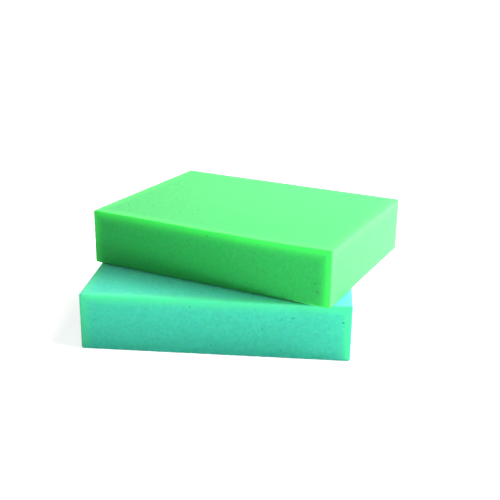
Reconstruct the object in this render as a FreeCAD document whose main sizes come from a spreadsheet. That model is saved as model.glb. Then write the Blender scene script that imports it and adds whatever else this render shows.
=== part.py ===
"""Two flat bricks of flower-arranging foam, the upper one laid askew on the lower.

Sizes are in millimetres and degrees. The origin is the centre of the lower brick's underside: +X runs along
that brick's length, -Y faces its front and +Z is up. Each brick is one piece, sawn from a block of foam and
solid all through. Its edges are soft, because foam crumbles where it is sharp. On the upper brick the front
top edge is also pressed down into a long faint dip, which fades out over the top behind it.
"""

import FreeCAD, Part

import os

import Sketcher

# alias, size, what it sets
SIZES = [
    ("lower_length", 229, "lower brick along X"),
    ("lower_width", 172, "lower brick along Y"),
    ("lower_thickness", 50, "height of the lower brick, and of the face that the upper one lies on"),
    ("upper_length", 232.5, "upper brick along its own X"),
    ("upper_width", 172, "upper brick along its own Y"),
    ("upper_thickness", 50, "height of the upper brick where nothing has pressed it"),
    ("edge_radius", 1.5, "rounding of every edge of both bricks"),
    ("dip_depth", 1, "how far the upper brick's front top edge is pressed down at its lowest"),
    ("dip_reach", 70, "how far behind the front face the dip fades out"),
    ("upper_turn", -21.9, "turn of the upper brick about +Z"),
    ("upper_shift_x", 19.6, "centre of the upper brick from that of the lower one, along X"),
    ("upper_shift_y", 29.3, "centre of the upper brick from that of the lower one, along Y"),
]

# How Sketcher numbers a side outline's four curves, and the two middle poles of a dipped top
BOTTOM, RIGHT, TOP, LEFT = range(4)
LOW_POLE, LEVEL_POLE = range(5, 7)

# How it numbers the points of a line, curve or circle, and the sketch's own origin
START, END, CENTRE = range(1, 4)
ORIGIN = (-1, START)

doc = FreeCAD.newDocument("foam_bricks")
sheet = doc.addObject("Spreadsheet::Sheet", "sizes")
for row, (alias, size, meaning) in enumerate(SIZES, start=1):
    sheet.set(f"A{row}", alias)
    sheet.set(f"B{row}", str(size))
    sheet.set(f"C{row}", meaning)
    sheet.setAlias(f"B{row}", alias)
doc.recompute()


def dimension(sketch, name, kind, first, second, formula):
    """Dimension the distance from one sketch point to another, driven by a formula over the sheet."""
    start_size = sheet.evalExpression(formula)
    index = sketch.addConstraint(Sketcher.Constraint(kind, *first, *second, start_size))
    sketch.renameConstraint(index, name)
    sketch.setExpression(f"Constraints.{name}", formula)


def side_sketch(body, name, brick, top=None):
    """The outline of a brick's long side on the body's XZ plane: it stands on X, centred on Z.

    Its top is a straight line, or the curve that top makes from the right corner to the left one.
    """
    sketch = body.newObject("Sketcher::SketchObject", name)
    plane = next(feature for feature in body.Origin.OriginFeatures if feature.Role == "XZ_Plane")
    sketch.AttachmentSupport = [(plane, "")]
    sketch.MapMode = "FlatFace"

    half_length = sheet.get(f"{brick}_length") / 2
    height = sheet.get(f"{brick}_thickness")
    places = [(-half_length, 0), (half_length, 0), (half_length, height), (-half_length, height)]
    corners = [FreeCAD.Vector(x, y, 0) for x, y in places]
    curves = [Part.LineSegment(corners[index], corners[(index + 1) % 4]) for index in range(4)]
    if top:
        curves[TOP] = top(corners[TOP], corners[LEFT])
    for curve in curves:
        sketch.addGeometry(curve)
    for index in range(4):
        sketch.addConstraint(Sketcher.Constraint("Coincident", index, END, (index + 1) % 4, START))
    sketch.addConstraint(Sketcher.Constraint("Horizontal", BOTTOM))
    sketch.addConstraint(Sketcher.Constraint("Symmetric", BOTTOM, START, BOTTOM, END, *ORIGIN))
    sketch.addConstraint(Sketcher.Constraint("Vertical", RIGHT))
    sketch.addConstraint(Sketcher.Constraint("Vertical", LEFT))
    sketch.addConstraint(Sketcher.Constraint("Equal", RIGHT, LEFT))
    dimension(sketch, "length", "DistanceX", (BOTTOM, START), (BOTTOM, END), f"sizes.{brick}_length")
    dimension(sketch, "height", "DistanceY", (RIGHT, START), (RIGHT, END), f"sizes.{brick}_thickness")
    return sketch


def cubic_top(right_corner, left_corner):
    """A cubic curve between two corners, with its four poles evenly spaced on the line that joins them."""
    step = (left_corner - right_corner) / 3
    poles = [right_corner + step * index for index in range(4)]
    curve = Part.BSplineCurve()
    curve.buildFromPolesMultsKnots(poles, [4, 4], [0, 1], False, 3)
    return curve


def press_dip(sketch, brick):
    """Lower one middle pole of the sketch's cubic top, so that the top sinks by the dip's depth.

    The curve sinks by 4/9 of what its pole does, a third of the length in from that pole's end.
    """
    sketch.exposeInternalGeometry(TOP)
    low = (LOW_POLE, CENTRE)
    level = (LEVEL_POLE, CENTRE)
    dimension(sketch, "low_pole_side", "DistanceX", ORIGIN, low, f"sizes.{brick}_length / 6")
    dimension(sketch, "low_pole_drop", "DistanceY", low, (RIGHT, END), "sizes.dip_depth * 9 / 4")
    dimension(sketch, "level_pole_side", "DistanceX", level, ORIGIN, f"sizes.{brick}_length / 6")
    dimension(sketch, "level_pole_height", "DistanceY", ORIGIN, level, f"sizes.{brick}_thickness")


def soften_edges(body, block, name):
    """Round every edge of the block that ends the body so far."""
    fillet = body.newObject("PartDesign::Fillet", name)
    fillet.Base = (block, [""])
    fillet.UseAllEdges = True
    fillet.setExpression("Radius", "sizes.edge_radius")


# Lower brick: a plain block, centred on the origin and standing on its plane
lower = doc.addObject("PartDesign::Body", "lower_brick")
lower_side = side_sketch(lower, "lower_side", "lower")
lower_block = lower.newObject("PartDesign::Pad", "lower_block")
lower_block.Profile = lower_side
lower_block.SideType = "Symmetric"
lower_block.setExpression("Length", "sizes.lower_width")
soften_edges(lower, lower_block, "lower_edges")

# Upper brick: dipped at its front face, and level from where the dip fades out to its back
upper = doc.addObject("PartDesign::Body", "upper_brick")
upper_front = side_sketch(upper, "upper_front", "upper", top=cubic_top)
upper_front.setExpression("AttachmentOffset.Base.z", "sizes.upper_width / 2")
press_dip(upper_front, "upper")
upper_level = side_sketch(upper, "upper_level", "upper")
upper_level.setExpression("AttachmentOffset.Base.z", "sizes.upper_width / 2 - sizes.dip_reach")
doc.recompute()
dipped_stretch = upper.newObject("PartDesign::AdditiveLoft", "dipped_stretch")
dipped_stretch.Profile = upper_front
dipped_stretch.Sections = [upper_level]
dipped_stretch.Ruled = True
level_stretch = upper.newObject("PartDesign::Pad", "level_stretch")
level_stretch.Profile = upper_level
level_stretch.Reversed = True
level_stretch.setExpression("Length", "sizes.upper_width - sizes.dip_reach")
soften_edges(upper, level_stretch, "upper_edges")

# It lies on the lower brick's top, turned about its own centre
seat = "create(<<vector>>; sizes.upper_shift_x; sizes.upper_shift_y; sizes.lower_thickness)"
turn = "create(<<rotation>>; create(<<vector>>; 0; 0; 1); sizes.upper_turn)"
upper.setExpression("Placement", f"create(<<placement>>; {seat}; {turn})")
doc.recompute()

for item in doc.Objects:
    if {"Invalid", "Error"} & set(item.State):
        raise RuntimeError(f"{item.Label} failed: {item.State}")

os.makedirs("parts", exist_ok=True)
for brick in (lower, upper):
    shape = brick.Shape
    if shape.isNull() or not shape.isValid() or len(shape.Solids) != 1:
        raise RuntimeError(f"{brick.Label} is not one valid solid")
    shape.exportStep(f"parts/{brick.Label}.step")
    print(f"{brick.Label}: {shape.Volume / 1000:.1f} cm3")
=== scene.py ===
import math
import random

import bmesh
import bpy
from mathutils import Matrix, Vector, noise


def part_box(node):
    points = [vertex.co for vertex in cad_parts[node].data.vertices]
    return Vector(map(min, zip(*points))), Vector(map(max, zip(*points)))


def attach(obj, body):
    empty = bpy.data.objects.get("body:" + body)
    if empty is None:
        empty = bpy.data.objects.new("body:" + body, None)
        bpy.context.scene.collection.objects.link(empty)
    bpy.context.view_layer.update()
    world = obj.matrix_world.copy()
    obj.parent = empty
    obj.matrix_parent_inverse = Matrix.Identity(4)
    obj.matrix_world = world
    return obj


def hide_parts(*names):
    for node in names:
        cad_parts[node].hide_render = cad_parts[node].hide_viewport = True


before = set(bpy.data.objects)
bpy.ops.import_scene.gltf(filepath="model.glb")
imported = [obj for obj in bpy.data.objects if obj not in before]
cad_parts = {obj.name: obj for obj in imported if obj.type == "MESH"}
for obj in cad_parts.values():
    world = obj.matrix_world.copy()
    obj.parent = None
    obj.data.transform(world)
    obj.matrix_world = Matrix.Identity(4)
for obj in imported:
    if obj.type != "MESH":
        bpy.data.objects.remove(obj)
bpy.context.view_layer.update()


# ---- Lower brick ----
# The teal brick that stands on the table. It is one block of fine-celled foam, foamed in a big bun and then
# sawn and sanded flat, so it has faintly wavy faces, crumbled edges and bubbles that the saw has opened.

MM = 0.001
EDGE_RADIUS = 1.5 * MM

lower_low, lower_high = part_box("lower_brick")
lower_size = lower_high - lower_low
lower_centre = (lower_low + lower_high) / 2


def sawn_block(size, edge_radius):
    """A block centred on the origin, with rounded edges and a grid of small faces all over."""
    grid = 2 * MM
    bevel_steps = 5
    bm = bmesh.new()
    bmesh.ops.create_cube(bm, size=1)
    bmesh.ops.scale(bm, vec=size, verts=bm.verts)
    bmesh.ops.bevel(
        bm, geom=bm.edges[:], offset=edge_radius, offset_type="OFFSET", segments=bevel_steps,
        profile=0.5, affect="EDGES", material=-1,
    )
    for axis in range(3):
        along = []
        for edge in bm.edges:
            run = edge.verts[1].co - edge.verts[0].co
            if abs(run[axis]) > size[axis] / 2:
                along.append(edge)
        cuts = round(size[axis] / grid) - 1
        bmesh.ops.subdivide_edges(bm, edges=along, cuts=cuts, use_grid_fill=True)
    bm.normal_update()
    return bm


def edge_distance(place, size):
    """How far a point on a block's surface is from the nearest of the block's sharp edges."""
    inset = sorted(size[axis] / 2 - abs(place[axis]) for axis in range(3))
    return math.hypot(max(inset[0], 0), max(inset[1], 0))


def open_edge_distance(place, size):
    """The same, but only to the top and upright edges, not to those that the block lies on."""
    beside = sorted(size[axis] / 2 - abs(place[axis]) for axis in range(2))
    inset = sorted((*beside, size.z / 2 - place.z))
    return math.hypot(max(inset[0], 0), max(inset[1], 0))


def wear_and_paint_edge_glow(bm, size, seed):
    """Let the saw wander a little over the faces and crumble the edges, always inwards.

    The vertex layer made here is 1 on an open edge and fades to 0 over the face beside it. It marks where
    a painted glow, a lighter edge colour standing in for light that passes through lit edges, lies over the
    face.
    """
    saw_wander = 0.14 * MM
    wander_span = 17 * MM
    crumble = 0.45 * MM
    crumb_span = 2.6 * MM
    fray_reach = 2.8 * MM
    painted_glow_reach = 6.5 * MM
    layer = bm.verts.layers.float.new("painted_edge_glow")
    moves = []
    for vert in bm.verts:
        wander = 0.5 + 0.5 * noise.noise(vert.co / wander_span + Vector((seed, 0, 0)))
        crumbs = max(0, noise.noise(vert.co / crumb_span + Vector((0, seed, 0))))
        frayed = math.exp(-(edge_distance(vert.co, size) / fray_reach) ** 2)
        # Painted edge glow: how far the lighter edge colour reaches over the face from an open edge
        vert[layer] = math.exp(-(open_edge_distance(vert.co, size) / painted_glow_reach) ** 2)
        moves.append(vert.normal * (saw_wander * wander + crumble * crumbs * frayed))
    for vert, move in zip(bm.verts, moves):
        vert.co -= move


def open_bubbles(bm, size, seed):
    """Sink the bubbles that the saw has cut open into the faces, as round pits of several sizes.

    The vertex layer pit is 1 at the bottom of a pit and 0 on the face; the colour uses it for painted shade
    in the pits.
    """
    spared_edge = 3.5 * MM
    # The profile at which a bevelled vertex leaves a round outline
    round_profile = 0.086
    bubbles = [(0.95 * MM, 60), (0.7 * MM, 170), (0.5 * MM, 420), (0.34 * MM, 900)]
    # Each ring of a pit, from its rim inwards: how far in and how far down, as shares of the radius
    rings = [(0.15, 0.5), (0.35, 0.45)]
    draw = random.Random(seed)
    layer = bm.verts.layers.float.new("pit")
    free = [vert for vert in bm.verts if edge_distance(vert.co, size) > spared_edge]
    draw.shuffle(free)
    taken = set()
    for radius, count in bubbles:
        centres = []
        while free and len(centres) < count:
            vert = free.pop()
            if vert in taken:
                continue
            centres.append(vert)
            for face in vert.link_faces:
                taken.update(face.verts)
        made = bmesh.ops.bevel(
            bm, geom=centres, offset=radius, offset_type="OFFSET", segments=2, profile=round_profile,
            affect="VERTICES", material=-1,
        )
        discs = made["faces"]
        bm.normal_update()
        for inwards, down in rings:
            bmesh.ops.inset_region(bm, faces=discs, thickness=inwards * radius, depth=-down * radius)
        for face in discs:
            for vert in face.verts:
                vert[layer] = 1
        taken = {vert for vert in taken if vert.is_valid}
        free = [vert for vert in free if vert.is_valid]


def finished_piece(bm, name, turn, centre):
    """Lay the finished block in its place in the row and make it an object, smooth but for its creases."""
    crease = math.radians(38)
    bmesh.ops.rotate(bm, cent=(0, 0, 0), matrix=Matrix.Rotation(turn, 3, "Z"), verts=bm.verts)
    bmesh.ops.translate(bm, vec=centre, verts=bm.verts)
    bm.normal_update()
    for face in bm.faces:
        face.smooth = True
    for edge in bm.edges:
        edge.smooth = edge.calc_face_angle(0) < crease
    mesh = bpy.data.meshes.new(name)
    bm.to_mesh(mesh)
    bm.free()
    piece = bpy.data.objects.new(name, mesh)
    bpy.context.scene.collection.objects.link(piece)
    return piece


def sawn_foam_group():
    """Sawn foam: Colour is mottled by the cells, with a painted glow along edges and painted shade in pits.
    Height is open cells.

    Edge is 1 on an open edge where the glow is painted, Pit is 1 at the bottom of an opened bubble where
    shade is painted, and both are 0 on a plain face.
    """
    sizes = {"Cell Size": 0.7 * MM, "Patch Size": 3 * MM}
    cell_share = 0.25
    mean_cell_tone = 0.12
    patch_relief = 0.6
    tone_low, tone_high = 0.3, 0.7
    dimmest, brightest = 0.85, 1
    edge_strength = 0.9
    pit_shade_strength = 0.6
    group = bpy.data.node_groups.new("sawn_foam", "ShaderNodeTree")
    for name in ("Face Colour", "Edge Colour", "Pit Colour"):
        group.interface.new_socket(name, in_out="INPUT", socket_type="NodeSocketColor")
    for name in ("Edge", "Pit"):
        group.interface.new_socket(name, in_out="INPUT", socket_type="NodeSocketFloat")
    for name, default in sizes.items():
        socket = group.interface.new_socket(name, in_out="INPUT", socket_type="NodeSocketFloat")
        socket.default_value = default
    group.interface.new_socket("Colour", in_out="OUTPUT", socket_type="NodeSocketColor")
    group.interface.new_socket("Height", in_out="OUTPUT", socket_type="NodeSocketFloat")
    nodes, links = group.nodes, group.links
    given = nodes.new("NodeGroupInput")
    result = nodes.new("NodeGroupOutput")
    place = nodes.new("ShaderNodeTexCoord")

    def scale_of(size_name):
        divide = nodes.new("ShaderNodeMath")
        divide.operation = "DIVIDE"
        divide.inputs[0].default_value = 1
        links.new(given.outputs[size_name], divide.inputs[1])
        return divide.outputs[0]

    def scaled_sum(scaled, factor, added):
        total = nodes.new("ShaderNodeMath")
        total.operation = "MULTIPLY_ADD"
        total.inputs[1].default_value = factor
        links.new(scaled, total.inputs[0])
        links.new(added, total.inputs[2])
        return total.outputs[0]

    def overlaid(under, mask_name, strength):
        """The colour that a mask's own colour gives where it lies over another one."""
        factor = nodes.new("ShaderNodeMath")
        factor.operation = "MULTIPLY"
        factor.inputs[1].default_value = strength
        links.new(given.outputs[mask_name], factor.inputs[0])
        mix = nodes.new("ShaderNodeMix")
        mix.data_type = "RGBA"
        links.new(factor.outputs[0], mix.inputs["Factor"])
        links.new(under, mix.inputs["A"])
        links.new(given.outputs[f"{mask_name} Colour"], mix.inputs["B"])
        return mix.outputs["Result"]

    cells = nodes.new("ShaderNodeTexVoronoi")
    cells.feature = "F1"
    links.new(place.outputs["Object"], cells.inputs["Vector"])
    links.new(scale_of("Cell Size"), cells.inputs["Scale"])
    patches = nodes.new("ShaderNodeTexNoise")
    patches.inputs["Detail"].default_value = 4
    patches.inputs["Roughness"].default_value = 0.65
    links.new(place.outputs["Object"], patches.inputs["Vector"])
    links.new(scale_of("Patch Size"), patches.inputs["Scale"])
    distance, patch = cells.outputs["Distance"], patches.outputs["Fac"]

    tone = nodes.new("ShaderNodeMapRange")
    tone.inputs["From Min"].default_value = tone_low + mean_cell_tone
    tone.inputs["From Max"].default_value = tone_high + mean_cell_tone
    tone.inputs["To Min"].default_value = dimmest
    tone.inputs["To Max"].default_value = brightest
    links.new(scaled_sum(distance, cell_share, patch), tone.inputs["Value"])
    mottled = nodes.new("ShaderNodeVectorMath")
    mottled.operation = "SCALE"
    links.new(given.outputs["Face Colour"], mottled.inputs[0])
    links.new(tone.outputs["Result"], mottled.inputs["Scale"])
    # Painted glow along the open edges, then painted shade at the bottoms of the pits
    with_painted_glow = overlaid(mottled.outputs[0], "Edge", edge_strength)
    links.new(overlaid(with_painted_glow, "Pit", pit_shade_strength), result.inputs["Colour"])
    links.new(scaled_sum(patch, patch_relief, distance), result.inputs["Height"])
    return group


sawn_foam = sawn_foam_group()


def foam(name, face_colour, painted_glow_colour, pit_shade_colour, glow, dust):
    """Dyed foam: dusty and matt, and light passes a few millimetres through it, so lit edges glow.

    Glow is how far red, green and blue light pass. Dust is the weight of the pale bloom on the sawn faces.
    """
    cell_depth = 0.25 * MM
    material = bpy.data.materials.new(name)
    material.use_nodes = True
    nodes, links = material.node_tree.nodes, material.node_tree.links
    surface = nodes.new("ShaderNodeGroup")
    surface.node_tree = sawn_foam
    surface.inputs["Face Colour"].default_value = (*face_colour, 1)
    surface.inputs["Edge Colour"].default_value = (*painted_glow_colour, 1)
    surface.inputs["Pit Colour"].default_value = (*pit_shade_colour, 1)
    # The edge mask carries the painted glow and the pit mask the painted shade
    for mask_name, layer_name in (("Edge", "painted_edge_glow"), ("Pit", "pit")):
        layer = nodes.new("ShaderNodeAttribute")
        layer.attribute_name = layer_name
        links.new(layer.outputs["Fac"], surface.inputs[mask_name])
    bump = nodes.new("ShaderNodeBump")
    bump.inputs["Strength"].default_value = 0.5
    bump.inputs["Distance"].default_value = cell_depth
    links.new(surface.outputs["Height"], bump.inputs["Height"])
    shader = nodes["Principled BSDF"]
    links.new(surface.outputs["Colour"], shader.inputs["Base Color"])
    links.new(bump.outputs["Normal"], shader.inputs["Normal"])
    shader.inputs["Roughness"].default_value = 0.8
    shader.inputs["Specular IOR Level"].default_value = 0.1
    shader.inputs["Subsurface Weight"].default_value = 1
    shader.inputs["Subsurface Radius"].default_value = glow
    shader.inputs["Subsurface Scale"].default_value = 1
    shader.inputs["Sheen Weight"].default_value = dust
    shader.inputs["Sheen Roughness"].default_value = 0.5
    return material


block = sawn_block(lower_size, EDGE_RADIUS)
wear_and_paint_edge_glow(block, lower_size, seed=11)
open_bubbles(block, lower_size, seed=12)
lower_brick = finished_piece(block, "lower_brick_foam", 0, lower_centre)
lower_brick.data.materials.append(foam(
    "teal_foam",
    face_colour=(0.088, 0.82, 0.61),
    # Painted glow on the open edges, lighter and greener than the face
    painted_glow_colour=(0.11, 0.96, 0.48),
    # Painted shade at the bottoms of the pits
    pit_shade_colour=(0.03, 0.42, 0.27),
    glow=(2.5 * MM, 6 * MM, 3 * MM),
    dust=0.05,
))
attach(lower_brick, "lower_brick")
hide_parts("lower_brick")


# ---- Upper brick ----
# The green brick, of the same foam in another dye, laid askew on the teal one. Its front top edge has been
# pressed down into a long faint dip, lowest to the right of the middle.

upper_low, upper_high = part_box("upper_brick")
upper_centre = (upper_low + upper_high) / 2
upper_size = Vector((232.5 * MM, 172 * MM, upper_high.z - upper_low.z))
upper_turn = math.radians(-21.9)


def press_dip(bm, size):
    """Press the front top edge down, and the foam under and behind it with it.

    Along the edge it sinks as a cubic curve does, and the curve is lowest a third of the way from the right.
    """
    depth = 1 * MM
    reach = 70 * MM
    to_full_depth = 27 / 4
    for vert in bm.verts:
        from_right = min(max(0.5 - vert.co.x / size.x, 0), 1)
        behind = min(max((vert.co.y + size.y / 2) / reach, 0), 1)
        up = 0.5 + vert.co.z / size.z
        sink = to_full_depth * from_right * (1 - from_right) ** 2
        fade = (1 - behind) ** 2 * (1 + 2 * behind)
        vert.co.z -= depth * sink * fade * up


block = sawn_block(upper_size, EDGE_RADIUS)
wear_and_paint_edge_glow(block, upper_size, seed=21)
open_bubbles(block, upper_size, seed=22)
press_dip(block, upper_size)
upper_brick = finished_piece(block, "upper_brick_foam", upper_turn, upper_centre)
upper_brick.data.materials.append(foam(
    "green_foam",
    face_colour=(0.036, 0.62, 0.138),
    # Painted glow on the open edges, lighter and greener than the face
    painted_glow_colour=(0.075, 1, 0.16),
    # Painted shade at the bottoms of the pits
    pit_shade_colour=(0.015, 0.38, 0.05),
    glow=(2.5 * MM, 8 * MM, 3.5 * MM),
    dust=0.27,
))
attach(upper_brick, "upper_brick")
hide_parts("upper_brick")


# ---- Table, light and camera ----
# A wide white table in a white room, with two big soft lamps high on the right, a weak one low in front and
# light thrown back up by the table. The camera looks down at the bricks' fronts, from a little to the right.

table_size = 40
bpy.ops.mesh.primitive_plane_add(size=table_size)
table = bpy.context.object
table.name = "table"


def seen_ray(nodes, links):
    """1 for rays that show a surface to the eye, straight, mirrored or through glass, and 0 for light."""
    path = nodes.new("ShaderNodeLightPath")
    total = path.outputs["Is Camera Ray"]
    for name in ("Is Glossy Ray", "Is Transmission Ray"):
        either = nodes.new("ShaderNodeMath")
        either.operation = "MAXIMUM"
        links.new(total, either.inputs[0])
        links.new(path.outputs[name], either.inputs[1])
        total = either.outputs[0]
    return total


def white_table():
    """White paper that looks bright white all over and still keeps the bricks' soft shadow.

    Its own white, which only the eye sees, is weaker near the bricks, where the shadow falls.
    """
    paper = 0.9
    near_glow, far_glow = 0.8, 1
    near_reach, far_reach = 0.5, 2.5
    material = bpy.data.materials.new("white_table")
    material.use_nodes = True
    nodes, links = material.node_tree.nodes, material.node_tree.links
    shader = nodes["Principled BSDF"]
    place = nodes.new("ShaderNodeTexCoord")
    distance = nodes.new("ShaderNodeVectorMath")
    distance.operation = "LENGTH"
    links.new(place.outputs["Object"], distance.inputs[0])
    glow = nodes.new("ShaderNodeMapRange")
    glow.inputs["From Min"].default_value = near_reach
    glow.inputs["From Max"].default_value = far_reach
    glow.inputs["To Min"].default_value = near_glow
    glow.inputs["To Max"].default_value = far_glow
    links.new(distance.outputs["Value"], glow.inputs["Value"])
    seen_glow = nodes.new("ShaderNodeMath")
    seen_glow.operation = "MULTIPLY"
    links.new(seen_ray(nodes, links), seen_glow.inputs[0])
    links.new(glow.outputs["Result"], seen_glow.inputs[1])
    shader.inputs["Base Color"].default_value = (paper, paper, paper, 1)
    shader.inputs["Roughness"].default_value = 1
    shader.inputs["Specular IOR Level"].default_value = 0
    shader.inputs["Emission Color"].default_value = (1, 1, 1, 1)
    links.new(seen_glow.outputs[0], shader.inputs["Emission Strength"])
    return material


table.data.materials.append(white_table())


def white_room():
    """A room that is white to look at and gives only a little light of its own."""
    room_light = 0.07
    world = bpy.data.worlds.new("white_room")
    world.use_nodes = True
    nodes, links = world.node_tree.nodes, world.node_tree.links
    background = nodes["Background"]
    background.inputs["Color"].default_value = (1, 1, 1, 1)
    strength = nodes.new("ShaderNodeMath")
    strength.operation = "MULTIPLY_ADD"
    strength.inputs[1].default_value = 1 - room_light
    strength.inputs[2].default_value = room_light
    links.new(seen_ray(nodes, links), strength.inputs[0])
    links.new(strength.outputs[0], background.inputs["Strength"])
    return world


bpy.context.scene.world = white_room()


def soft_lamp(name, place, shine, size, power, colour):
    """A square lamp at a place, shining along a direction."""
    lamp = bpy.data.lights.new(name, "AREA")
    lamp.size = size
    lamp.energy = power
    lamp.color = colour
    holder = bpy.data.objects.new(name, lamp)
    holder.location = place
    holder.rotation_euler = (-shine).to_track_quat("Z", "Y").to_euler()
    bpy.context.scene.collection.objects.link(holder)
    return holder


def aimed_lamp(name, azimuth, elevation, power, colour):
    """A big lamp that points at the bricks, from an azimuth counted from the front round by the right."""
    middle = Vector((0, 0, 50 * MM))
    distance = 1.1
    size = 0.7
    around, up = math.radians(azimuth), math.radians(elevation)
    way = Vector((math.sin(around) * math.cos(up), -math.cos(around) * math.cos(up), math.sin(up)))
    return soft_lamp(name, middle + distance * way, -way, size, power, colour)


warm = (1, 0.98, 0.9)
white = (1, 1, 1)
aimed_lamp("key_lamp", azimuth=127, elevation=41, power=16, colour=warm)
aimed_lamp("side_lamp", azimuth=85, elevation=48, power=13, colour=warm)
aimed_lamp("fill_lamp", azimuth=16, elevation=14, power=1.9, colour=white)

# Light that the table throws back up at the fronts of the bricks
bounce = soft_lamp(
    "table_bounce", place=Vector((0, -360, 3)) * MM, shine=Vector((0, 0, 1)), size=0.3, power=1, colour=white,
)
bounce.visible_camera = False

camera = bpy.data.objects.new("camera", bpy.data.cameras.new("camera"))
camera.data.lens = 61.95
stand = Vector((84.9, -738.2, 325.5)) * MM
heading = math.radians(4.869)
downward = math.radians(19.357)
roll = math.radians(0.682)
camera.matrix_world = (
    Matrix.Translation(stand)
    @ Matrix.Rotation(heading, 4, "Z")
    @ Matrix.Rotation(math.pi / 2 - downward, 4, "X")
    @ Matrix.Rotation(roll, 4, "Z")
)
bpy.context.scene.collection.objects.link(camera)
bpy.context.scene.camera = camera
bpy.context.scene.view_settings.view_transform = "Standard"
